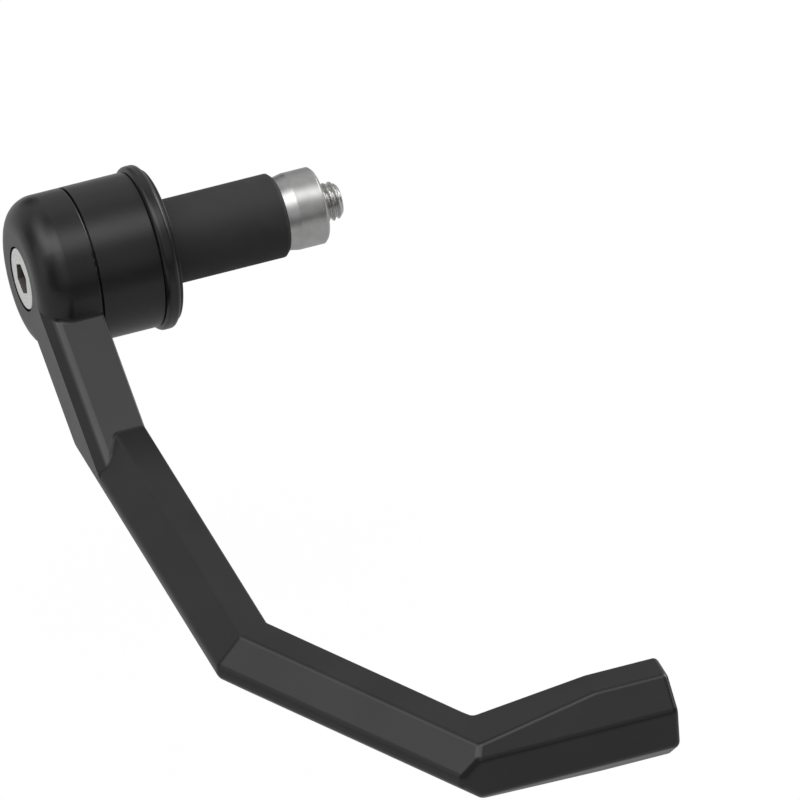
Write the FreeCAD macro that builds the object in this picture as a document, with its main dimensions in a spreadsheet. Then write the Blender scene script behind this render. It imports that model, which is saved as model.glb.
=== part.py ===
import FreeCAD, Part
import math
import os
import Sketcher

# Lever guard for a motorcycle handlebar. The origin is on the bar's axis, at the end of the bar.
# X runs inboard along the bar, -Y is forward and Z is square to the flat of the blade.

doc = FreeCAD.newDocument("LeverGuard")

# Driving dimensions in millimetres and degrees
sizes = {
    # Clamp stack outside the bar: cap, spacer sleeve and collar
    "cap_diameter": "32.2",
    "cap_dome": "6",
    "arm_width": "12.1",
    "sleeve_length": "13.4",
    "sleeve_edge": "0.3",
    "bead_diameter": "34.1",
    "bead_length": "3",
    "bead_edge": "0.6",
    "neck_diameter": "31.6",
    "neck_length": "0.8",
    # Arm root, which drops forward from the cap
    "arm_height": "13.4",
    "root_drop": "30",
    "root_reach": "42.6",
    "root_chamfer": "2.2",
    "root_round": "2.4",
    "joint_round": "1.2",
    "crease_round": "1.2",
    # Side run, straight ahead, parallel to the plane of the cap
    "side_run": "75.3",
    "side_strip": "6.4",
    "blade_wall": "2.5",
    # Corner run, turned inboard
    "corner_turn": "30",
    "corner_run": "54",
    "corner_strip": "6.7",
    # Tip, parallel to the bar, which flares to a taller pad at its end
    "tip_run": "39.3",
    "tip_strip": "6.45",
    "tip_wall": "8.5",
    "tip_height": "19.6",
    "pad_length": "15.5",
    "flare_lead": "1.8",
    "flare_round": "5",
    "ridge_round": "1.5",
    "wall_round": "2.2",
    "bend_round": "1.5",
    "tip_round": "1.2",
    "inner_round": "0.5",
    # Clamp screw
    "thread_diameter": "8",
    "head_diameter": "13",
    "head_height": "8",
    "head_recess": "0.15",
    "head_edge": "0.2",
    "socket_flats": "6",
    "socket_depth": "4",
    "socket_turn": "27",
    "screw_proud": "4.5",
    "thread_lead": "1",
    "head_play": "0.3",
    "bore_play": "0.25",
    # Expander inside the bar
    "bush_diameter": "17.5",
    "bush_length": "26",
    "bush_edge": "0.8",
    "cone_nose": "11",
    "cone_mouth": "15",
    "cone_seat": "10",
    "cone_proud": "2.5",
    "cone_gap": "0.5",
    "nut_rim": "6",
    "nut_edge": "0.6",
    "thread_play": "0.05",
}
sheet = doc.addObject("Spreadsheet::Sheet", "Sizes")
for row, (name, value) in enumerate(sizes.items(), start=1):
    sheet.set(f"A{row}", name)
    sheet.set(f"B{row}", value)
    sheet.setAlias(f"B{row}", name)
doc.recompute()

# Places worked out from the driving dimensions
NECK_FACE = "-Sizes.neck_length"
BEAD_FACE = "-(Sizes.neck_length + Sizes.bead_length)"
SEAM = f"({BEAD_FACE} - Sizes.sleeve_length)"
END_FACE = f"({SEAM} - Sizes.arm_width)"
ROOT_FORWARD = "Sizes.root_reach * cos(Sizes.root_drop)"
BLADE_LEVEL = "(-Sizes.root_reach * sin(Sizes.root_drop))"
SIDE_FORWARD = f"({ROOT_FORWARD} + Sizes.side_run)"
CORNER_FORWARD = f"({SIDE_FORWARD} + Sizes.corner_run * cos(Sizes.corner_turn))"
CORNER_X = f"({SEAM} + Sizes.corner_run * sin(Sizes.corner_turn))"
TIP_X = f"({CORNER_X} + Sizes.tip_run)"
HALF = "Sizes.arm_height / 2"
TIP_HALF = "Sizes.tip_height / 2"
PAD_X = f"({TIP_X} - Sizes.pad_length)"
FLARE_X = f"({CORNER_X} - Sizes.flare_lead)"
HEAD_SEAT = f"({END_FACE} + Sizes.head_recess + Sizes.head_height)"
CONE_END = "(Sizes.bush_length + Sizes.cone_proud)"
NUT_FACE = f"({CONE_END} + Sizes.nut_rim)"
SCREW_END = f"({NUT_FACE} + Sizes.screw_proud)"
BORE = "(Sizes.thread_diameter / 2 + Sizes.bore_play)"
CONE_SLOPE = "(Sizes.cone_mouth - Sizes.cone_nose) / 2 / Sizes.cone_seat"
NUT_RADIUS = f"(Sizes.cone_mouth / 2 + Sizes.cone_proud * {CONE_SLOPE})"

# How far cutting outlines run past the material, how long a cut right through is, and how close
# to a point an edge passes to be picked by it
CLEAR = "6"
THROUGH = 500
PICK = 0.01


def number(expression):
    return float(sheet.evalExpression(expression))


def origin_item(body, role):
    return next(item for item in body.Origin.OriginFeatures if item.Role == role)


def outline(body, name, plane, loops, base=("0", "0", "0"), axis=(0, 1, 0), turn="0"):
    """Closed outlines on an origin plane, every corner held by a pair of sized distances.

    A corner that also gives a radius and a centre starts an arc, and any other a straight line.
    """
    sketch = body.newObject("Sketcher::SketchObject", name)
    sketch.AttachmentSupport = (origin_item(body, plane), [""])
    sketch.MapMode = "FlatFace"
    place = FreeCAD.Vector(*[number(part) for part in base])
    rotation = FreeCAD.Rotation(FreeCAD.Vector(*axis), number(turn))
    sketch.AttachmentOffset = FreeCAD.Placement(place, rotation)
    for letter, part in zip("xyz", base):
        sketch.setExpression(f"AttachmentOffset.Base.{letter}", part)
    if turn != "0":
        sketch.setExpression("AttachmentOffset.Rotation.Angle", turn)
    for loop in loops:
        corners = [FreeCAD.Vector(number(corner[0]), number(corner[1]), 0) for corner in loop]
        first = sketch.GeometryCount
        starts = []
        for i, corner in enumerate(loop):
            ends = corners[i], corners[(i + 1) % len(loop)]
            if len(corner) == 2:
                sketch.addGeometry(Part.LineSegment(*ends))
                starts.append(1)
                continue
            radius, centre_x, centre_y = corner[2]
            centre = FreeCAD.Vector(number(centre_x), number(centre_y), 0)
            angles = [math.atan2(end.y - centre.y, end.x - centre.x) for end in ends]
            forwards = (angles[1] - angles[0]) % (2 * math.pi) < math.pi
            circle = Part.Circle(centre, FreeCAD.Vector(0, 0, 1), number(radius))
            arc = sketch.addGeometry(Part.ArcOfCircle(circle, *(angles if forwards else angles[::-1])))
            index = sketch.addConstraint(Sketcher.Constraint("Radius", arc, number(radius)))
            sketch.setExpression(f"Constraints[{index}]", radius)
            starts.append(1 if forwards else 2)
        for i, corner in enumerate(loop):
            here = first + i, starts[i]
            before = first + (i - 1) % len(loop), 3 - starts[i - 1]
            sketch.addConstraint(Sketcher.Constraint("Coincident", *before, *here))
            for kind, expression, value in zip(("DistanceX", "DistanceY"), corner, corners[i]):
                index = sketch.addConstraint(Sketcher.Constraint(kind, -1, 1, *here, value))
                sketch.setExpression(f"Constraints[{index}]", expression)
    doc.recompute()
    return sketch


def padded(body, name, sketch, length, both_ways=False):
    pad = body.newObject("PartDesign::Pad", name)
    pad.Profile = sketch
    pad.SideType = "Symmetric" if both_ways else "One side"
    pad.setExpression("Length", length)
    doc.recompute()
    return pad


def pocketed(body, name, sketch, depth=None):
    """A cut to a depth along the sketch's normal, or right through both ways."""
    before = body.Tip.Shape.Volume
    pocket = body.newObject("PartDesign::Pocket", name)
    pocket.Profile = sketch
    if depth:
        pocket.Reversed = True
        pocket.setExpression("Length", depth)
    else:
        pocket.SideType = "Symmetric"
        pocket.Length = THROUGH
    doc.recompute()
    if pocket.Shape.Volume >= before:
        raise RuntimeError(f"{name} cuts nothing")
    return pocket


def turned(body, name, loop, kind="Revolution"):
    """A profile of (place along the bar, radius) pairs, spun about the bar's axis."""
    sketch = outline(body, f"{name}Profile", "XY_Plane", [loop])
    spin = body.newObject(f"PartDesign::{kind}", name)
    spin.Profile = sketch
    spin.ReferenceAxis = (origin_item(body, "X_Axis"), [""])
    doc.recompute()
    return spin


def edges_at(shape, points):
    vertices = [Part.Vertex(point) for point in points]
    return [
        f"Edge{i}"
        for i, edge in enumerate(shape.Edges, start=1)
        if any(edge.distToShape(vertex)[0] < PICK for vertex in vertices)
    ]


def broken(body, name, kind, size, points):
    """A fillet or chamfer along the edges that pass through the points."""
    base = body.Tip
    feature = body.newObject(f"PartDesign::{kind}", name)
    feature.Base = (base, edges_at(base.Shape, points))
    feature.setExpression("Radius" if kind == "Fillet" else "Size", size)
    doc.recompute()
    return feature


def rim(place, radius):
    """A point of a turned edge."""
    return FreeCAD.Vector(number(place), 0, number(radius))


# The three straight runs of the blade, all as deep as the arm is wide. Each has the place of its
# inner corner, its turn from straight ahead, the width of its flat top and bottom, the height of its
# outer wall, and half its height where the bevels end.
DEPTH = "Sizes.arm_width"
WALL = "Sizes.blade_wall"
runs = {
    "side": (SEAM, ROOT_FORWARD, "0", "Sizes.side_strip", WALL, HALF),
    "corner": (SEAM, SIDE_FORWARD, "Sizes.corner_turn", "Sizes.corner_strip", WALL, HALF),
    "tip": (CORNER_X, CORNER_FORWARD, "90", "Sizes.tip_strip", "Sizes.tip_wall", TIP_HALF),
}


def bevel_loop(run, side):
    """The corner that a run's bevel takes off, as a triangle square to the run."""
    strip, wall, half = runs[run][3:]
    slope = f"({half} - {wall} / 2) / ({DEPTH} - {strip})"
    high = f"{side} * ({half} + {CLEAR} * {slope})"
    return [
        (f"-{strip} + {CLEAR}", high),
        (f"-{DEPTH} - {CLEAR}", f"{side} * ({wall} / 2 - {CLEAR} * {slope})"),
        (f"-{DEPTH} - {CLEAR}", high),
    ]


def bevelled(body, run, sides):
    place_x, forward, turn = runs[run][:3]
    loops = [bevel_loop(run, side) for side in sides]
    names = {1: "Upper", -1: "Lower"}
    label = run.capitalize() + "".join(names[side] for side in sides)
    sketch = outline(body, f"{label}Outline", "XZ_Plane", loops, (place_x, BLADE_LEVEL, forward), turn=turn)
    return pocketed(body, f"{label}Bevel", sketch)


def blade_point(run, along, out, height):
    """A point of a run: along it from its inner corner, out from its inner face, above mid-height."""
    place_x, forward, turn = [number(part) for part in runs[run][:3]]
    turn = math.radians(turn)
    ahead = forward + along * math.cos(turn) + out * math.sin(turn)
    return FreeCAD.Vector(
        place_x + along * math.sin(turn) - out * math.cos(turn), -ahead, number(BLADE_LEVEL) + height
    )


def outer_reach(run, height):
    """How far a run's outer side stands from its inner face at a height above mid-height."""
    depth = number(DEPTH)
    strip, wall, half = [number(part) for part in runs[run][3:]]
    bevel = max(abs(height) - wall / 2, 0) / (half - wall / 2)
    return depth - bevel * (depth - strip)


def bend_point(first, second, height):
    """Where the outer sides of two runs meet."""
    ends = []
    for run in (first, second):
        out = outer_reach(run, height)
        ends.append([blade_point(run, along, out, height) for along in (0, 1)])
    (start, ahead), (other, other_ahead) = ends
    way = ahead - start
    other_way = other_ahead - other
    gap = other - start
    along = (gap.x * other_way.y - gap.y * other_way.x) / (way.x * other_way.y - way.y * other_way.x)
    return start + way * along


def flare_creases():
    inset = number("Sizes.tip_strip") / 2
    points = []
    for place, half in ((FLARE_X, HALF), (PAD_X, TIP_HALF)):
        along = number(f"{place} - {CORNER_X}")
        points += [blade_point("tip", along, inset, side * number(half)) for side in (1, -1)]
    return points


def inner_bends():
    return [blade_point(run, 0, 0, 0) for run in ("corner", "tip")]


def outer_points(places):
    return [
        blade_point(run, along, outer_reach(run, height), side * height)
        for run, along, height in places
        for side in (1, -1)
    ]


def wall_edges():
    """The edges above and below the outer wall of each run, and the outer edges of the bends."""
    half, wall, tip_wall = number(HALF), number(f"{WALL} / 2"), number("Sizes.tip_wall / 2")
    points = outer_points([
        ("side", number("Sizes.side_run / 2"), wall),
        ("corner", number("Sizes.corner_run / 2"), wall),
        ("tip", number("Sizes.tip_run - Sizes.pad_length / 2"), tip_wall),
    ])
    heights = {
        ("side", "corner"): ((half + wall) / 2, 0),
        ("corner", "tip"): ((half + tip_wall) / 2, (tip_wall + wall) / 2, 0),
    }
    for pair, levels in heights.items():
        points += [bend_point(*pair, side * level) for level in levels for side in (1, -1)]
    return points


def ridges():
    """The outer edges of the flat top and bottom of each run."""
    half, tip_half = number(HALF), number(TIP_HALF)
    return outer_points([
        ("side", number("Sizes.side_run / 2"), half),
        ("corner", number("Sizes.corner_run / 2"), half),
        ("tip", number(f"({FLARE_X} + {PAD_X}) / 2 - {CORNER_X}"), (half + tip_half) / 2),
        ("tip", number("Sizes.tip_run - Sizes.pad_length / 2"), tip_half),
    ])


def root_point(across, along, height):
    """A point of the root: in from its outboard face, along it from the bar's axis, above its middle."""
    drop = math.radians(number("Sizes.root_drop"))
    ahead = along * math.cos(drop) + height * math.sin(drop)
    return FreeCAD.Vector(
        number(END_FACE) + across, -ahead, -along * math.sin(drop) + height * math.cos(drop)
    )


def root_edges():
    """The bevelled edges of the root, halfway down it."""
    half = number(HALF)
    halfway = number("(Sizes.cap_diameter / 2 + Sizes.root_reach) / 2")
    return [root_point(number("Sizes.root_chamfer"), halfway, side * half) for side in (1, -1)]


def root_joint():
    """The lines where the flats of the root leave the cap."""
    half = number(HALF)
    radius = number("Sizes.cap_diameter / 2")
    across = number("(Sizes.cap_dome + Sizes.arm_width) / 2")
    along = math.sqrt(radius ** 2 - half ** 2)
    return [root_point(across, along, side * half) for side in (1, -1)]


def root_crease():
    """The hollow where the flat top of the root meets that of the side run."""
    half = number(HALF)
    drop = math.radians(number("Sizes.root_drop"))
    along = (half * math.cos(drop) - number(BLADE_LEVEL) - half) / math.sin(drop)
    return [root_point(number("Sizes.arm_width - Sizes.side_strip / 2"), along, half)]


def inner_edges():
    half, tip_half = number(HALF), number(TIP_HALF)
    flare = number(f"({FLARE_X} + {PAD_X}) / 2 - {CORNER_X}")
    places = [
        ("side", number("Sizes.side_run / 2"), half),
        ("corner", number("Sizes.corner_run / 2"), half),
        ("tip", flare, (half + tip_half) / 2),
        ("tip", number("Sizes.tip_run - Sizes.pad_length / 2"), tip_half),
    ]
    halfway = number("(Sizes.cap_diameter / 2 + Sizes.root_reach) / 2")
    points = [root_point(number("Sizes.arm_width"), halfway, side * half) for side in (1, -1)]
    for run, along, height in places:
        points += [blade_point(run, along, 0, side * height) for side in (1, -1)]
    return points


def tip_edges():
    """The edges round the end of the tip: inner corner, flats, bevels and outer wall."""
    depth, run = number(DEPTH), number("Sizes.tip_run")
    strip, wall, half = [number(part) for part in runs["tip"][3:]]
    middles = [(0, 0), (strip / 2, half), ((strip + depth) / 2, (half + wall / 2) / 2), (depth, 0)]
    return [blade_point("tip", run, out, side * height) for out, height in middles for side in (1, -1)]


def guard_arm():
    body = doc.addObject("PartDesign::Body", "guard_arm")

    # Plan of the blade: two bends, each turning inboard
    turn = "Sizes.corner_turn"
    outer_x = f"({SEAM} - {DEPTH} * cos({turn}))"
    outer_forward = f"({SIDE_FORWARD} + {DEPTH} * sin({turn}))"
    front = f"({CORNER_FORWARD} + {DEPTH})"
    plan = [
        (SEAM, f"-({ROOT_FORWARD})"),
        (SEAM, f"-{SIDE_FORWARD}"),
        (CORNER_X, f"-{CORNER_FORWARD}"),
        (TIP_X, f"-{CORNER_FORWARD}"),
        (TIP_X, f"-{front}"),
        (f"{outer_x} + ({front} - {outer_forward}) * tan({turn})", f"-{front}"),
        (END_FACE, f"-({outer_forward} - ({outer_x} - {END_FACE}) / tan({turn}))"),
        (END_FACE, f"-({ROOT_FORWARD})"),
    ]
    sketch = outline(body, "BladePlan", "XY_Plane", [plan], ("0", "0", BLADE_LEVEL))
    padded(body, "Blade", sketch, "Sizes.tip_height", both_ways=True)

    # Elevation of the blade: level up to the tip, which flares above and below
    flares = [
        [
            (f"{END_FACE} - {CLEAR}", f"{side} * {HALF}"),
            (FLARE_X, f"{side} * {HALF}"),
            (PAD_X, f"{side} * {TIP_HALF}"),
            (f"{END_FACE} - {CLEAR}", f"{side} * {TIP_HALF}"),
        ]
        for side in (1, -1)
    ]
    sketch = outline(body, "BladeElevation", "XZ_Plane", flares, ("0", BLADE_LEVEL, "0"))
    pocketed(body, "Flare", sketch)

    # Bevels along the outer side, above and below
    bevelled(body, "tip", (1, -1))
    bevelled(body, "corner", (1, -1))
    bevelled(body, "side", (1,))

    # Root: a bar with bevelled outboard edges, running from the cap down into the blade
    edge = "Sizes.root_chamfer"
    root = [
        ("Sizes.arm_width", f"-{HALF}"),
        ("Sizes.arm_width", HALF),
        (edge, HALF),
        ("0", f"{HALF} - {edge}"),
        ("0", f"-({HALF} - {edge})"),
        (edge, f"-{HALF}"),
    ]
    place = (END_FACE, "0", "0")
    sketch = outline(body, "RootSection", "XZ_Plane", [root], place, (1, 0, 0), "Sizes.root_drop")
    sunk = f"({HALF} * cos(Sizes.root_drop) + {WALL} / 2) / sin(Sizes.root_drop)"
    padded(body, "Root", sketch, f"Sizes.root_reach + {sunk} + {CLEAR}")

    # The side run's underside and lower bevel, carried through the root
    under = f"-{HALF}"
    wall = f"{WALL} / 2"
    slope = f"({HALF} - {wall}) / (Sizes.arm_width - Sizes.side_strip)"
    deep = f"-(Sizes.tip_height + {CLEAR})"
    belly = [
        (CLEAR, under),
        ("-Sizes.side_strip", under),
        (f"-Sizes.arm_width - {CLEAR}", f"-{wall} + {CLEAR} * {slope}"),
        (f"-Sizes.arm_width - {CLEAR}", deep),
        (CLEAR, deep),
    ]
    sketch = outline(body, "RootBelly", "XZ_Plane", [belly], (SEAM, BLADE_LEVEL, "0"))
    pocketed(body, "RootUnderside", sketch)

    # Cap over the end of the bar, domed outboard and level with the arm's outboard face
    radius = "Sizes.cap_diameter / 2"
    dome = "Sizes.cap_dome"
    cap = [
        (END_FACE, "0"),
        (END_FACE, f"{radius} - {dome}", (dome, f"{END_FACE} + {dome}", f"{radius} - {dome}")),
        (f"{END_FACE} + {dome}", radius),
        (SEAM, radius),
        (SEAM, "0"),
    ]
    turned(body, "Cap", cap)

    # Soft edges, from the broad sweeps to the fine ones
    broken(body, "FlareSweep", "Fillet", "Sizes.flare_round", flare_creases())
    broken(body, "InnerBends", "Fillet", "Sizes.bend_round", inner_bends())
    broken(body, "WallEdges", "Fillet", "Sizes.wall_round", wall_edges())
    broken(body, "Ridges", "Fillet", "Sizes.ridge_round", ridges())
    broken(body, "RootEdges", "Fillet", "Sizes.root_round", root_edges())
    broken(body, "RootJoint", "Fillet", "Sizes.joint_round", root_joint())
    broken(body, "TipEnd", "Fillet", "Sizes.tip_round", tip_edges())
    broken(body, "InnerEdges", "Fillet", "Sizes.inner_round", inner_edges())
    broken(body, "RootCrease", "Fillet", "Sizes.crease_round", root_crease())

    # Counterbore for the screw's head, and its clearance hole
    pocket = "(Sizes.head_diameter / 2 + Sizes.head_play)"
    bore = [
        (END_FACE, "0"),
        (END_FACE, pocket),
        (HEAD_SEAT, pocket),
        (HEAD_SEAT, BORE),
        (SEAM, BORE),
        (SEAM, "0"),
    ]
    turned(body, "ScrewHole", bore, "Groove")
    return body


def clamp_screw():
    """Socket head cap screw, sunk level with the cap."""
    body = doc.addObject("PartDesign::Body", "clamp_screw")
    head_face = f"({END_FACE} + Sizes.head_recess)"
    head = "Sizes.head_diameter / 2"
    shank = "Sizes.thread_diameter / 2"
    profile = [
        (head_face, "0"),
        (head_face, head),
        (HEAD_SEAT, head),
        (HEAD_SEAT, shank),
        (SCREW_END, shank),
        (SCREW_END, "0"),
    ]
    turned(body, "Screw", profile)
    broken(body, "HeadEdge", "Chamfer", "Sizes.head_edge", [rim(head_face, head)])
    broken(body, "ThreadLead", "Chamfer", "Sizes.thread_lead", [rim(SCREW_END, shank)])
    corner = "Sizes.socket_flats / sqrt(3)"
    turns = [f"(Sizes.socket_turn + {i} * 360 / 6)" for i in range(6)]
    hexagon = [(f"{corner} * cos({turn})", f"{corner} * sin({turn})") for turn in turns]
    sketch = outline(body, "SocketOutline", "YZ_Plane", [hexagon], ("0", "0", head_face))
    pocketed(body, "Socket", sketch, "Sizes.socket_depth")
    return body


def ring(name, profile):
    body = doc.addObject("PartDesign::Body", name)
    turned(body, name.title().replace("_", ""), profile)
    return body


def spacer_sleeve():
    """Plain barrel between the cap and the collar."""
    outer = "Sizes.cap_diameter / 2"
    body = ring("spacer_sleeve", [(SEAM, BORE), (SEAM, outer), (BEAD_FACE, outer), (BEAD_FACE, BORE)])
    broken(body, "SleeveEdges", "Chamfer", "Sizes.sleeve_edge", [rim(SEAM, outer), rim(BEAD_FACE, outer)])
    return body


def collar_ring():
    """Raised bead and the narrower neck that bears on the end of the bar."""
    bead = "Sizes.bead_diameter / 2"
    neck = "Sizes.neck_diameter / 2"
    profile = [
        (BEAD_FACE, BORE),
        (BEAD_FACE, bead),
        (NECK_FACE, bead),
        (NECK_FACE, neck),
        ("0", neck),
        ("0", BORE),
    ]
    body = ring("collar_ring", profile)
    broken(body, "BeadEdges", "Chamfer", "Sizes.bead_edge", [rim(BEAD_FACE, bead), rim(NECK_FACE, bead)])
    return body


def expander_bush():
    """Rubber bush in the bar's bore, with a tapered mouth for the cone."""
    outer = "Sizes.bush_diameter / 2"
    step = "(Sizes.bush_length - Sizes.cone_seat - Sizes.cone_gap)"
    profile = [
        ("0", BORE),
        ("0", outer),
        ("Sizes.bush_length", outer),
        ("Sizes.bush_length", "Sizes.cone_mouth / 2"),
        (step, f"Sizes.cone_nose / 2 - Sizes.cone_gap * {CONE_SLOPE}"),
        (step, BORE),
    ]
    body = ring("expander_bush", profile)
    broken(body, "BushEdge", "Chamfer", "Sizes.bush_edge", [rim("Sizes.bush_length", outer)])
    return body


def cone_nut():
    """Threaded cone that the screw draws into the bush."""
    bore = "(Sizes.thread_diameter / 2 + Sizes.thread_play)"
    nose_face = "(Sizes.bush_length - Sizes.cone_seat)"
    profile = [
        (nose_face, bore),
        (nose_face, "Sizes.cone_nose / 2"),
        (CONE_END, NUT_RADIUS),
        (NUT_FACE, NUT_RADIUS),
        (NUT_FACE, bore),
    ]
    body = ring("cone_nut", profile)
    broken(body, "NutEdge", "Chamfer", "Sizes.nut_edge", [rim(NUT_FACE, NUT_RADIUS)])
    return body


bodies = [
    guard_arm(),
    clamp_screw(),
    spacer_sleeve(),
    collar_ring(),
    expander_bush(),
    cone_nut(),
]
doc.recompute()

# Every feature is sound before anything is written
for item in doc.Objects:
    if "Invalid" in item.State or "Error" in item.State:
        raise RuntimeError(f"{item.Label}: {item.State}")
os.makedirs("parts", exist_ok=True)
for body in bodies:
    if body.Shape.isNull() or not body.Shape.isValid():
        raise RuntimeError(f"{body.Label} is not a sound solid")
    body.Shape.exportStep(f"parts/{body.Label}.step")
    print(body.Label, len(body.Shape.Solids), round(body.Shape.Volume), body.Shape.BoundBox)
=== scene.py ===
import bpy
import math
import numpy as np
from mathutils import Matrix, Vector


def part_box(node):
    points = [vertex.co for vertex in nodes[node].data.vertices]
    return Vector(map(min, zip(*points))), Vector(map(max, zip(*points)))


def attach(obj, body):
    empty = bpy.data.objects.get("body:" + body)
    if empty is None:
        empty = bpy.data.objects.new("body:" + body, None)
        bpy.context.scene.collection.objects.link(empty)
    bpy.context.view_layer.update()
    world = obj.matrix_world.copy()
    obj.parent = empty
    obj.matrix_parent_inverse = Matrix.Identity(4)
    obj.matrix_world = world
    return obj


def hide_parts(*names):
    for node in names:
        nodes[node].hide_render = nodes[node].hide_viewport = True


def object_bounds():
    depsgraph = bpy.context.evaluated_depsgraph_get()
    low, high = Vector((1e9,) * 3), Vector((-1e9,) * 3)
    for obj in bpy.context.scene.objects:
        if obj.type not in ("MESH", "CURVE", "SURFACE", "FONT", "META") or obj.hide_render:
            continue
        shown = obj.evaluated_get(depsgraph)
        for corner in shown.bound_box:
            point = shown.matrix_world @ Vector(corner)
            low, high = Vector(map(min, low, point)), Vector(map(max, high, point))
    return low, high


mm = 0.001  # the frame is in metres

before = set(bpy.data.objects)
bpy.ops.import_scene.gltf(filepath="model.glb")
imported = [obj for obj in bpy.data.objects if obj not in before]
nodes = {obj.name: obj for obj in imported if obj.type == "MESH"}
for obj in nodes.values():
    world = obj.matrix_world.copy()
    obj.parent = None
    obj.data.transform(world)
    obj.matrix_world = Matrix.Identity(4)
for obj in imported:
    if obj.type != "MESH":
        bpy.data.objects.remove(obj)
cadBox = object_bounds()
scene = bpy.context.scene
scene.view_settings.view_transform = "Standard"
print("frame loaded:", ", ".join(sorted(nodes)))


# Node trees

noiseRange = 0.3, 0.7  # most of a noise's values lie between these


def clearedTree(owner):
    owner.use_nodes = True
    owner.node_tree.nodes.clear()
    return owner.node_tree


def startMaterial(name):
    material = bpy.data.materials.new(name)
    tree = clearedTree(material)
    output = tree.nodes.new("ShaderNodeOutputMaterial")
    shader = tree.nodes.new("ShaderNodeBsdfPrincipled")
    tree.links.new(shader.outputs["BSDF"], output.inputs["Surface"])
    return material, tree, shader


def addNode(tree, kind, values=None, **settings):
    node = tree.nodes.new(kind)
    for key, value in settings.items():
        setattr(node, key, value)
    for key, value in (values or {}).items():
        node.inputs[key].default_value = value
    return node


def calc(tree, operation, *terms):
    # each term is a plain number or another node's output
    node = addNode(tree, "ShaderNodeMath", operation=operation)
    for entry, term in zip(node.inputs, terms):
        if isinstance(term, (int, float)):
            entry.default_value = term
        else:
            tree.links.new(term, entry)
    return node.outputs[0]


def objectPoint(tree):
    return addNode(tree, "ShaderNodeTexCoord").outputs["Object"]


def noise(tree, point, scale, detail):
    node = addNode(tree, "ShaderNodeTexNoise", {"Scale": scale, "Detail": detail})
    tree.links.new(point, node.inputs["Vector"])
    return node.outputs["Fac"]


def spread(tree, value, low, high, fromLow=noiseRange[0], fromHigh=noiseRange[1]):
    node = addNode(tree, "ShaderNodeMapRange", {1: fromLow, 2: fromHigh, 3: low, 4: high})
    tree.links.new(value, node.inputs[0])
    return node.outputs[0]


def shades(tree, value, dark, light):
    ramp = addNode(tree, "ShaderNodeValToRGB")
    for element, position, color in zip(ramp.color_ramp.elements, noiseRange, (dark, light)):
        element.position = position
        element.color = (*color, 1)
    tree.links.new(value, ramp.inputs["Fac"])
    return ramp.outputs["Color"]


def covered(tree, color, share, cover):
    node = addNode(tree, "ShaderNodeMix", {"B": (*cover, 1)}, data_type="RGBA")
    tree.links.new(share, node.inputs["Factor"])
    tree.links.new(color, node.inputs["A"])
    return node.outputs["Result"]


def bump(tree, shader, height, strength, distance):
    node = addNode(tree, "ShaderNodeBump", {"Strength": strength, "Distance": distance})
    tree.links.new(height, node.inputs["Height"])
    tree.links.new(node.outputs["Normal"], shader.inputs["Normal"])


# Finishes

def satinMoulding(name, look):
    # black moulding: faint clouding in colour and gloss, over the fine grain of a blasted mould
    material, tree, shader = startMaterial(name)
    point = objectPoint(tree)
    cloud = noise(tree, point, look["cloudScale"], detail=3)
    sheen = noise(tree, point, look["glossScale"], detail=4)
    grain = noise(tree, point, look["grainScale"], detail=2)
    tree.links.new(shades(tree, cloud, look["dark"], look["light"]), shader.inputs["Base Color"])
    tree.links.new(spread(tree, sheen, *look["roughness"]), shader.inputs["Roughness"])
    bump(tree, shader, grain, look["grainStrength"], look["grainDepth"])
    shader.inputs["IOR"].default_value = look["ior"]
    return material


def turnedMetal(name, look, headEnd=None, socket=None):
    # plated metal with fine turning lines: noise that reads only the place along the bar's axis and
    # the distance from it
    material, tree, shader = startMaterial(name)
    point = objectPoint(tree)
    flat = addNode(tree, "ShaderNodeVectorMath", {1: (0, 1, 1)}, operation="MULTIPLY")
    tree.links.new(point, flat.inputs[0])
    length = addNode(tree, "ShaderNodeVectorMath", operation="LENGTH")
    tree.links.new(flat.outputs[0], length.inputs[0])
    parts = addNode(tree, "ShaderNodeSeparateXYZ")
    tree.links.new(point, parts.inputs[0])
    along, reach = parts.outputs["X"], length.outputs["Value"]
    rings = addNode(tree, "ShaderNodeCombineXYZ")
    tree.links.new(along, rings.inputs["X"])
    tree.links.new(reach, rings.inputs["Y"])
    lines = noise(tree, rings.outputs[0], look["lineScale"], detail=3)
    cloud = noise(tree, point, look["cloudScale"], detail=3)
    color = shades(tree, cloud, look["dark"], look["light"])
    gloss = spread(tree, lines, *look["roughness"])
    shader.inputs["Metallic"].default_value = 1.0
    if headEnd is not None:
        # the blasted head is paler, and scatters part of the light
        blasted = look["blasted"]
        ends = headEnd, headEnd + blasted["fade"]
        color = covered(tree, color, spread(tree, along, blasted["cover"], 0, *ends), blasted["color"])
        tree.links.new(spread(tree, along, blasted["metallic"], 1, *ends), shader.inputs["Metallic"])
    if socket is not None:
        # painted shade: dark and dull between the socket's mouth and the point of its drilled hole,
        # where the recess lies in shade
        hole = look["hole"]
        mouth, tip = socket[0] + hole["start"], socket[1]
        opened = spread(tree, along, 0, 1, mouth, mouth + hole["fade"])
        closed = spread(tree, along, 1, 0, tip, tip + hole["fade"])
        within = spread(tree, reach, 1, 0, hole["radius"], hole["radius"] + hole["fade"])
        socketShade = calc(tree, "MULTIPLY", calc(tree, "MULTIPLY", opened, closed), within)
        color = covered(tree, color, socketShade, hole["color"])
        gloss = calc(tree, "MULTIPLY_ADD", socketShade, hole["dulling"], gloss)
    tree.links.new(color, shader.inputs["Base Color"])
    tree.links.new(gloss, shader.inputs["Roughness"])
    bump(tree, shader, lines, look["lineStrength"], look["lineDepth"])
    return material


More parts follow.
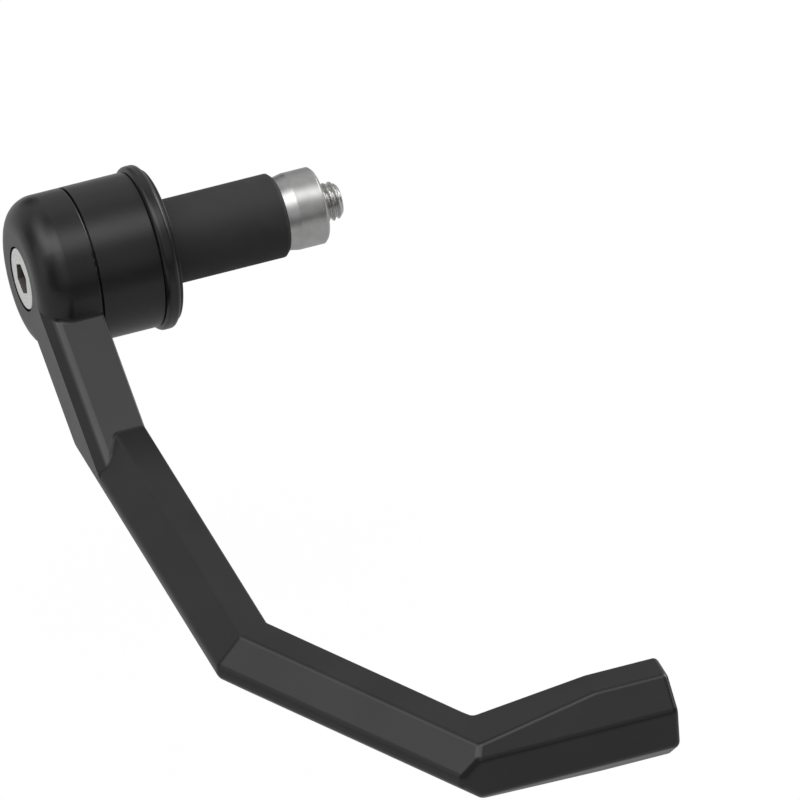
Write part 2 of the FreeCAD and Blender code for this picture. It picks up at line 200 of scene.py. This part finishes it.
def mouldedRubber(name, look):
    # dull rubber with a dusty bloom and a soft pebble
    material, tree, shader = startMaterial(name)
    point = objectPoint(tree)
    bloom = noise(tree, point, look["bloomScale"], detail=5)
    pebble = noise(tree, point, look["pebbleScale"], detail=2)
    tree.links.new(shades(tree, bloom, look["dark"], look["light"]), shader.inputs["Base Color"])
    tree.links.new(spread(tree, bloom, *look["roughness"]), shader.inputs["Roughness"])
    bump(tree, shader, pebble, look["pebbleStrength"], look["pebbleDepth"])
    return material


# Surfaces

def gridPiece(name, grid, material, replaced, poles=None, sharpAngle=35):
    # a grid of points, closed round its columns, and round its rows unless it ends in two poles
    rows, columns = grid.shape[:2]
    index = np.arange(rows * columns).reshape(rows, columns)
    ahead = np.roll(index, -1, axis=1)
    below = np.roll(index, -1, axis=0)
    across = np.roll(ahead, -1, axis=0)
    quads = np.stack([index, below, across, ahead], axis=-1)
    points = grid.reshape(-1, 3)
    faces = quads.reshape(-1, 4).tolist()
    if poles is not None:
        first, last = len(points), len(points) + 1
        points = np.vstack([points, poles])
        cap = np.stack([np.full(columns, first), index[0], ahead[0]], axis=-1)
        end = np.stack([np.full(columns, last), ahead[-1], index[-1]], axis=-1)
        faces = quads[:-1].reshape(-1, 4).tolist() + cap.tolist() + end.tolist()
    mesh = bpy.data.meshes.new(name)
    mesh.from_pydata(points.tolist(), [], faces)
    mesh.validate()
    faceOutwards(mesh)
    mesh.shade_smooth()
    mesh.set_sharp_from_angle(angle=math.radians(sharpAngle))
    mesh.materials.append(material)
    piece = bpy.data.objects.new(name, mesh)
    scene.collection.objects.link(piece)
    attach(piece, "root")
    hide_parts(replaced)
    print("made", name, "with", len(mesh.polygons), "faces")


def faceOutwards(mesh):
    # the volume, summed over the triangles from the origin, is negative on an inside-out mesh
    mesh.calc_loop_triangles()
    corners = np.empty(len(mesh.loop_triangles) * 3, dtype=np.int32)
    mesh.loop_triangles.foreach_get("vertices", corners)
    places = np.empty(len(mesh.vertices) * 3)
    mesh.vertices.foreach_get("co", places)
    a, b, c = np.moveaxis(places.reshape(-1, 3)[corners.reshape(-1, 3)], 1, 0)
    if np.einsum("ij,ij->i", a, np.cross(b, c)).sum() < 0:
        mesh.flip_normals()


def roundCorners(corners, closed=True, steps=6, leastTurn=1e-6):
    # each corner (place, radius from the axis, rounding) becomes an arc: the two tangent points,
    # seen from the arc's centre, are blended by the sines of the angle still to go and gone
    corners = np.array(corners, dtype=float)
    places, rounding = corners[:, :2], corners[:, 2]
    back = np.roll(places, 1, axis=0) - places
    ahead = np.roll(places, -1, axis=0) - places
    back /= np.linalg.norm(back, axis=1, keepdims=True)
    ahead /= np.linalg.norm(ahead, axis=1, keepdims=True)
    if not closed:
        rounding[[0, -1]] = 0
    angle = np.arccos(np.clip((back * ahead).sum(1), -1, 1))
    reach = rounding / np.tan(angle / 2)
    middle = back + ahead
    middle /= np.linalg.norm(middle, axis=1, keepdims=True)
    centre = places + middle * (rounding / np.sin(angle / 2))[:, None]
    start = places + back * reach[:, None] - centre
    finish = places + ahead * reach[:, None] - centre
    turn = np.maximum(math.pi - angle, leastTurn)
    share = np.linspace(0, 1, steps)
    gone = np.sin(turn[:, None] * share) / np.sin(turn)[:, None]
    left = np.sin(turn[:, None] * (1 - share)) / np.sin(turn)[:, None]
    arcs = centre[:, None] + left[..., None] * start[:, None] + gone[..., None] * finish[:, None]
    runs = [arcs[i] if rounding[i] > 0 else places[i : i + 1] for i in range(len(places))]
    return heldFlats(np.vstack(runs), closed)


def heldFlats(profile, closed, margin=0.04 * mm, shortest=0.4 * mm):
    # a long straight stretch gets a point near both its ends, so that its shading stays flat
    ahead = np.roll(profile, -1, axis=0)
    length = np.linalg.norm(ahead - profile, axis=1)
    step = (ahead - profile) / np.maximum(length, margin)[:, None] * margin
    held = length > shortest
    if not closed:
        held[-1] = False
    points = np.stack([profile, profile + step, ahead - step], axis=1)
    return points[np.stack([np.ones_like(held), held, held], axis=1)]


def fullTurn(steps):
    return np.linspace(0, 2 * math.pi, steps, endpoint=False)


def spun(place, radius, angle):
    # turned about X: Y is the radius times the angle's cosine, Z the radius times its sine
    return np.stack([place + 0 * angle, radius * np.cos(angle), radius * np.sin(angle)], axis=-1)


def spunProfile(profile, steps):
    # a profile has two columns: the place along X and the radius there
    return spun(profile[:, :1], profile[:, 1:], fullTurn(steps))


def nodeReach(node):
    # where a turned node starts and ends along the bar, and its largest radius
    low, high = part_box(node)
    return low.x, high.x, high.y


# The arm with its cap keeps the frame's own shape, and its finish is the sleeve's and the collar's too

guardLook = {
    "dark": (0.010, 0.010, 0.0105),
    "light": (0.016, 0.016, 0.0165),
    "cloudScale": 60,
    "grainScale": 2600,
    "glossScale": 180,
    "roughness": (0.28, 0.32),
    "grainStrength": 0.10,
    "grainDepth": 0.02 * mm,
    "ior": 1.5,
}
guardBlack = satinMoulding("guardBlack", guardLook)
nodes["guard_arm"].data.materials.clear()
nodes["guard_arm"].data.materials.append(guardBlack)
print("dressed guard_arm")


# Spacer sleeve: a plain barrel, stepped down at the cap to leave a fine dark gap

sleeve = {
    "bore": 4.25 * mm,
    "gap": 0.26 * mm,
    "gapDepth": 1.0 * mm,
    "gapEdge": 0.05 * mm,
    "edge": 0.3 * mm,
    "steps": 192,
}
sleeveStart, sleeveEnd, sleeveRadius = nodeReach("spacer_sleeve")
gapEnd = sleeveStart + sleeve["gap"]
gapFloor = sleeveRadius - sleeve["gapDepth"]
sleeveProfile = roundCorners([
    (sleeveStart, sleeve["bore"], sleeve["edge"]),
    (sleeveStart, gapFloor, 0),
    (gapEnd, gapFloor, 0),
    (gapEnd, sleeveRadius, sleeve["gapEdge"]),
    (sleeveEnd, sleeveRadius, sleeve["edge"]),
    (sleeveEnd, sleeve["bore"], sleeve["edge"]),
])
sleeveGrid = spunProfile(sleeveProfile, sleeve["steps"])
sleeveBlack = satinMoulding("sleeveBlack", guardLook)
gridPiece("spacerSleeve", sleeveGrid, sleeveBlack, "spacer_sleeve")


# Collar: a rounded bead and the narrower neck behind it

collar = {
    "bore": 4.25 * mm,
    "neck": 15.8 * mm,
    "neckLength": 0.8 * mm,
    "shoulder": 1.0 * mm,
    "lip": 0.9 * mm,
    "edge": 0.2 * mm,
    "steps": 192,
}
collarStart, collarEnd, beadRadius = nodeReach("collar_ring")
neckStart = collarEnd - collar["neckLength"]
collarProfile = roundCorners([
    (collarStart, collar["bore"], collar["edge"]),
    (collarStart, beadRadius, collar["shoulder"]),
    (neckStart, beadRadius, collar["lip"]),
    (neckStart, collar["neck"], collar["edge"]),
    (collarEnd, collar["neck"], collar["edge"]),
    (collarEnd, collar["bore"], collar["edge"]),
])
collarGrid = spunProfile(collarProfile, collar["steps"])
collarBlack = satinMoulding("collarBlack", guardLook)
gridPiece("collarRing", collarGrid, collarBlack, "collar_ring")


# Clamp screw: hex socket, knurled head, plain shank and a rolled thread

screw = {
    "shank": 4.0 * mm,
    "headHeight": 8.0 * mm,
    "headRound": 0.2 * mm,
    "faceInset": 0.5 * mm,
    "knurls": 60,
    "knurlDepth": 0.12 * mm,
    "knurlStart": 1.3 * mm,
    "seatEdge": 0.5 * mm,
    "seatRound": 0.4 * mm,
    "socketFlats": 6.0 * mm,
    "socketDepth": 4.0 * mm,
    "socketTurn": math.radians(27),
    "socketEdge": 0.08 * mm,
    "drillPoint": 1.2 * mm,
    "innerShare": 0.5,  # where the ring of faces round each pole starts
    "pitch": 1.25 * mm,
    "threadDepth": 0.70 * mm,
    "threadFlat": 0.125,  # share of the pitch that is flat, at the top and at the bottom
    "threadLength": 28.0 * mm,
    "runOut": 2,  # pitches in which the thread reaches its depth
    "lead": 1.0 * mm,
    "rowsAPitch": 14,
    "steps": 180,
    "look": {
        "dark": (0.56, 0.555, 0.55),
        "light": (0.68, 0.675, 0.665),
        "cloudScale": 400,
        "lineScale": 9000,
        "roughness": (0.22, 0.34),
        "lineStrength": 0.08,
        "lineDepth": 0.01 * mm,
        "blasted": {"fade": 1.0 * mm, "color": (0.99, 0.98, 0.97), "cover": 0.92, "metallic": 0.3},
        # painted shade for the hex socket's recess: its reach, colour and duller gloss
        "hole": {
            "start": 0.02 * mm,
            "radius": 3.7 * mm,
            "fade": 0.1 * mm,
            "color": (0.15, 0.13, 0.12),
            "dulling": 0.3,
        },
    },
}


def threadRadius(place, angle, crest, depth):
    # a ridge that climbs one pitch a turn: two flanks, with a flat left at the top and at the bottom
    flat = screw["threadFlat"]
    phase = (place / screw["pitch"] - angle / (2 * math.pi)) % 1
    height = np.clip((np.abs(2 * phase - 1) - flat) / (1 - 2 * flat), 0, 1)
    return crest - depth * (1 - height)


def socketRadius(angle, flats, turn):
    # a hexagon in polar form: half the flats over the cosine of the angle from the nearest flat
    sixth = math.pi / 3
    return flats / 2 / np.cos((angle - turn) % sixth - sixth / 2)


screwStart, screwEnd, headRadius = nodeReach("clamp_screw")
screwAngle = fullTurn(screw["steps"])
hexagon = socketRadius(screwAngle, screw["socketFlats"], screw["socketTurn"])
socketFloor = screwStart + screw["socketDepth"]
drillEnd = socketFloor + screw["drillPoint"]
seat = screwStart + screw["headHeight"]
threadStart = screwEnd - screw["threadLength"]
rimRadius = headRadius - screw["knurlDepth"]
knurl = headRadius - screw["knurlDepth"] * (0.5 - 0.5 * np.cos(screw["knurls"] * screwAngle))

rim = roundCorners([
    (screwStart, headRadius - screw["faceInset"], 0),
    (screwStart, rimRadius, screw["headRound"]),
    (screwStart + screw["faceInset"], rimRadius, 0),
], closed=False)
screwRows = [
    (socketFloor, hexagon * screw["innerShare"]),
    (socketFloor, hexagon),
    (screwStart + screw["socketEdge"], hexagon),
    (screwStart, hexagon + screw["socketEdge"]),
    *rim,
    (screwStart + screw["knurlStart"], knurl),
    (seat - screw["seatEdge"], knurl),
    (seat, headRadius - screw["seatEdge"]),
    (seat, screw["shank"] + screw["seatRound"]),
    (seat + screw["seatRound"], screw["shank"]),
    (threadStart, screw["shank"]),
]
threadRows = int(screw["threadLength"] / screw["pitch"] * screw["rowsAPitch"])
threadPlace = np.linspace(threadStart, screwEnd, threadRows + 1)[1:, None]
started = np.clip((threadPlace - threadStart) / (screw["runOut"] * screw["pitch"]), 0, 1)
leadCone = screw["shank"] - np.clip(threadPlace - (screwEnd - screw["lead"]), 0, None)
ridge = threadRadius(threadPlace, screwAngle, screw["shank"], started * screw["threadDepth"])
ridge = np.minimum(ridge, leadCone)
screwPlace = np.vstack([*[row[0] for row in screwRows], threadPlace, screwEnd])
headRadii = [row[1] + 0 * screwAngle for row in screwRows]
screwRadius = np.vstack([*headRadii, ridge, ridge[-1] * screw["innerShare"]])
screwGrid = spun(screwPlace, screwRadius, screwAngle)
screwPoles = [(drillEnd, 0, 0), (screwEnd, 0, 0)]
screwSteel = turnedMetal("screwSteel", screw["look"], headEnd=seat, socket=(screwStart, drillEnd))
gridPiece("clampScrew", screwGrid, screwSteel, "clamp_screw", poles=screwPoles)


# Expander bush: dull rubber, with a tapered mouth at its inner end

bush = {
    "bore": 4.25 * mm,
    "mouth": 7.5 * mm,
    "nose": 5.4 * mm,
    "taper": 10.5 * mm,
    "lead": 0.8 * mm,
    "leadEdge": 0.4 * mm,
    "startEdge": 0.1 * mm,
    "endEdge": 0.2 * mm,
    "steps": 160,
    "look": {
        "dark": (0.016, 0.016, 0.016),
        "light": (0.030, 0.030, 0.029),
        "bloomScale": 220,
        "pebbleScale": 1800,
        "roughness": (0.62, 0.80),
        "pebbleStrength": 0.25,
        "pebbleDepth": 0.04 * mm,
    },
}
bushStart, bushEnd, bushRadius = nodeReach("expander_bush")
bushProfile = roundCorners([
    (bushStart, bush["bore"], 0),
    (bushStart, bushRadius, bush["startEdge"]),
    (bushEnd - bush["lead"], bushRadius, bush["leadEdge"]),
    (bushEnd, bushRadius - bush["lead"], bush["endEdge"]),
    (bushEnd, bush["mouth"], 0),
    (bushEnd - bush["taper"], bush["nose"], 0),
    (bushEnd - bush["taper"], bush["bore"], 0),
])
bushGrid = spunProfile(bushProfile, bush["steps"])
bushRubber = mouldedRubber("bushRubber", bush["look"])
gridPiece("expanderBush", bushGrid, bushRubber, "expander_bush")


# Cone nut: turned, plated, and threaded to the screw

nut = {
    "nose": 5.5 * mm,
    "rim": 6.0 * mm,
    "edge": 0.6 * mm,
    "round": 0.25 * mm,
    "play": 0.05 * mm,
    "steps": 144,
    "look": {
        "dark": (0.50, 0.50, 0.50),
        "light": (0.62, 0.62, 0.61),
        "cloudScale": 300,
        "lineScale": 7000,
        "roughness": (0.28, 0.42),
        "lineStrength": 0.12,
        "lineDepth": 0.01 * mm,
    },
}
nutStart, nutEnd, nutRadius = nodeReach("cone_nut")
nutBore = screw["shank"] + nut["play"]
nutProfile = roundCorners([
    (nutStart, nutBore, 0),
    (nutStart, nut["nose"], nut["round"]),
    (nutEnd - nut["rim"], nutRadius, nut["round"]),
    (nutEnd - nut["edge"], nutRadius, nut["round"]),
    (nutEnd, nutRadius - nut["edge"], nut["round"]),
    (nutEnd, nutBore, 0),
])
nutAngle = fullTurn(nut["steps"])
nutRows = int((nutEnd - nutStart) / screw["pitch"] * screw["rowsAPitch"])
borePlace = np.linspace(nutEnd, nutStart, nutRows + 2)[1:-1, None]
boreRadius = threadRadius(borePlace, nutAngle, nutBore, screw["threadDepth"])
nutGrid = np.vstack([spunProfile(nutProfile, nut["steps"]), spun(borePlace, boreRadius, nutAngle)])
nutMetal = turnedMetal("nutMetal", nut["look"])
gridPiece("coneNut", nutGrid, nutMetal, "cone_nut")


# Floor: pale, and white to the eye, with a part left to catch the shadow

floor = {
    "below": 60 * mm,
    "size": 3.0,
    "color": (0.42, 0.42, 0.42),
    "shade": 0.12,  # share of the matt floor that the camera sees, with the shadow on it
    "mirrored": 0.10,  # share of white in reflections
    "white": 1.08,
}


def showWhite(tree, output, plain, white, seen, mirrored):
    # white is mixed in: one share of it for the camera's rays, another for reflections
    path = addNode(tree, "ShaderNodeLightPath").outputs
    bounced = calc(tree, "MAXIMUM", path["Is Glossy Ray"], path["Is Transmission Ray"])
    direct = calc(tree, "MULTIPLY", path["Is Camera Ray"], seen)
    share = calc(tree, "MAXIMUM", direct, calc(tree, "MULTIPLY", bounced, mirrored))
    blend = addNode(tree, "ShaderNodeMixShader")
    tree.links.new(share, blend.inputs[0])
    tree.links.new(plain.outputs[0], blend.inputs[1])
    tree.links.new(white.outputs[0], blend.inputs[2])
    tree.links.new(blend.outputs[0], output.inputs["Surface"])


def makeFloor():
    level = cadBox[0].z - floor["below"]
    half = floor["size"] / 2
    square = (-half, -half), (half, -half), (half, half), (-half, half)
    mesh = bpy.data.meshes.new("floor")
    mesh.from_pydata([(x, y, level) for x, y in square], [], [(0, 1, 2, 3)])
    material = bpy.data.materials.new("floorWhite")
    tree = clearedTree(material)
    output = addNode(tree, "ShaderNodeOutputMaterial")
    matt = addNode(tree, "ShaderNodeBsdfDiffuse", {"Color": (*floor["color"], 1)})
    white = addNode(tree, "ShaderNodeEmission", {"Color": (1, 1, 1, 1), "Strength": floor["white"]})
    showWhite(tree, output, matt, white, 1 - floor["shade"], floor["mirrored"])
    mesh.materials.append(material)
    piece = bpy.data.objects.new("floor", mesh)
    scene.collection.objects.link(piece)


makeFloor()
print("floor laid")


# Studio: soft boxes painted on the sky, each a disc with a soft rim round its own direction

studio = {
    "core": 1 / 7,  # share of a disc, from its middle, that is at full strength
    "mirrored": 0.04,  # share of white in reflections, between the boxes
    "boxes": [
        {"azimuth": -17, "elevation": 80, "rim": 28, "strength": 0.98},
        {"azimuth": -17, "elevation": 70, "rim": 28, "strength": 1.86},
        {"azimuth": 43, "elevation": 70, "rim": 28, "strength": 0.34},
        {"azimuth": -75, "elevation": 56, "rim": 18, "strength": 1.31},
        {"azimuth": 127, "elevation": 50, "rim": 28, "strength": 0.51},
        {"azimuth": 235, "elevation": 50, "rim": 28, "strength": 0.90},
        {"azimuth": 271, "elevation": 50, "rim": 28, "strength": 1.60},
        {"azimuth": 180, "elevation": 40, "rim": 28, "strength": 0.50},
        {"azimuth": -17, "elevation": 30, "rim": 28, "strength": 0.36},
        {"azimuth": 13, "elevation": 30, "rim": 28, "strength": 0.33},
        {"azimuth": 103, "elevation": 30, "rim": 28, "strength": 4.46},
        {"azimuth": 148, "elevation": 10, "rim": 28, "strength": 0.58},
        {"azimuth": 208, "elevation": 10, "rim": 28, "strength": 0.47},
        {"azimuth": 268, "elevation": 10, "rim": 28, "strength": 0.72},
    ],
}


def direction(azimuth, elevation):
    # azimuth 0 looks in from the front, -Y, and 90 from inboard, +X
    turn, rise = math.radians(azimuth), math.radians(elevation)
    return math.sin(turn) * math.cos(rise), -math.cos(turn) * math.cos(rise), math.sin(rise)


def makeStudio():
    world = bpy.data.worlds.new("studio")
    scene.world = world
    tree = clearedTree(world)
    output = addNode(tree, "ShaderNodeOutputWorld")
    sky = addNode(tree, "ShaderNodeTexCoord").outputs["Generated"]
    light = 0
    for box in studio["boxes"]:
        middle = direction(box["azimuth"], box["elevation"])
        aim = addNode(tree, "ShaderNodeVectorMath", {1: middle}, operation="DOT_PRODUCT")
        tree.links.new(sky, aim.inputs[0])
        rim = math.cos(math.radians(box["rim"]))
        core = math.cos(math.radians(box["rim"] * studio["core"]))
        glow = addNode(tree, "ShaderNodeMapRange", {1: rim, 2: core, 3: 0, 4: box["strength"]})
        glow.interpolation_type = "SMOOTHSTEP"
        tree.links.new(aim.outputs["Value"], glow.inputs[0])
        light = calc(tree, "ADD", light, glow.outputs[0])
    soft = addNode(tree, "ShaderNodeBackground", {"Color": (1, 1, 1, 1)})
    tree.links.new(light, soft.inputs["Strength"])
    white = addNode(tree, "ShaderNodeBackground", {"Color": (1, 1, 1, 1), "Strength": 1})
    showWhite(tree, output, soft, white, 1, studio["mirrored"])


makeStudio()
print("studio lit with", len(studio["boxes"]), "soft boxes")


# Camera: far off with a long lens, looking down on the guard from in front and outboard

view = {
    "azimuth": -17.541,
    "elevation": 35.538,
    "roll": -3.788,
    "aim": (23.351 * mm, -81.831 * mm, 8.204 * mm),
    "distance": 6684.6 * mm,
    "lens": 1500,
    "sensor": 36,
}


def makeCamera():
    back = Vector(direction(view["azimuth"], view["elevation"]))
    lens = bpy.data.cameras.new("camera")
    lens.lens = view["lens"]
    lens.sensor_width = view["sensor"]
    camera = bpy.data.objects.new("camera", lens)
    scene.collection.objects.link(camera)
    roll = Matrix.Rotation(math.radians(view["roll"]), 3, "Z")
    turn = (-back).to_track_quat("-Z", "Y").to_matrix() @ roll
    camera.rotation_euler = turn.to_euler()
    camera.location = Vector(view["aim"]) + back * view["distance"]
    scene.camera = camera


makeCamera()
print("camera placed")
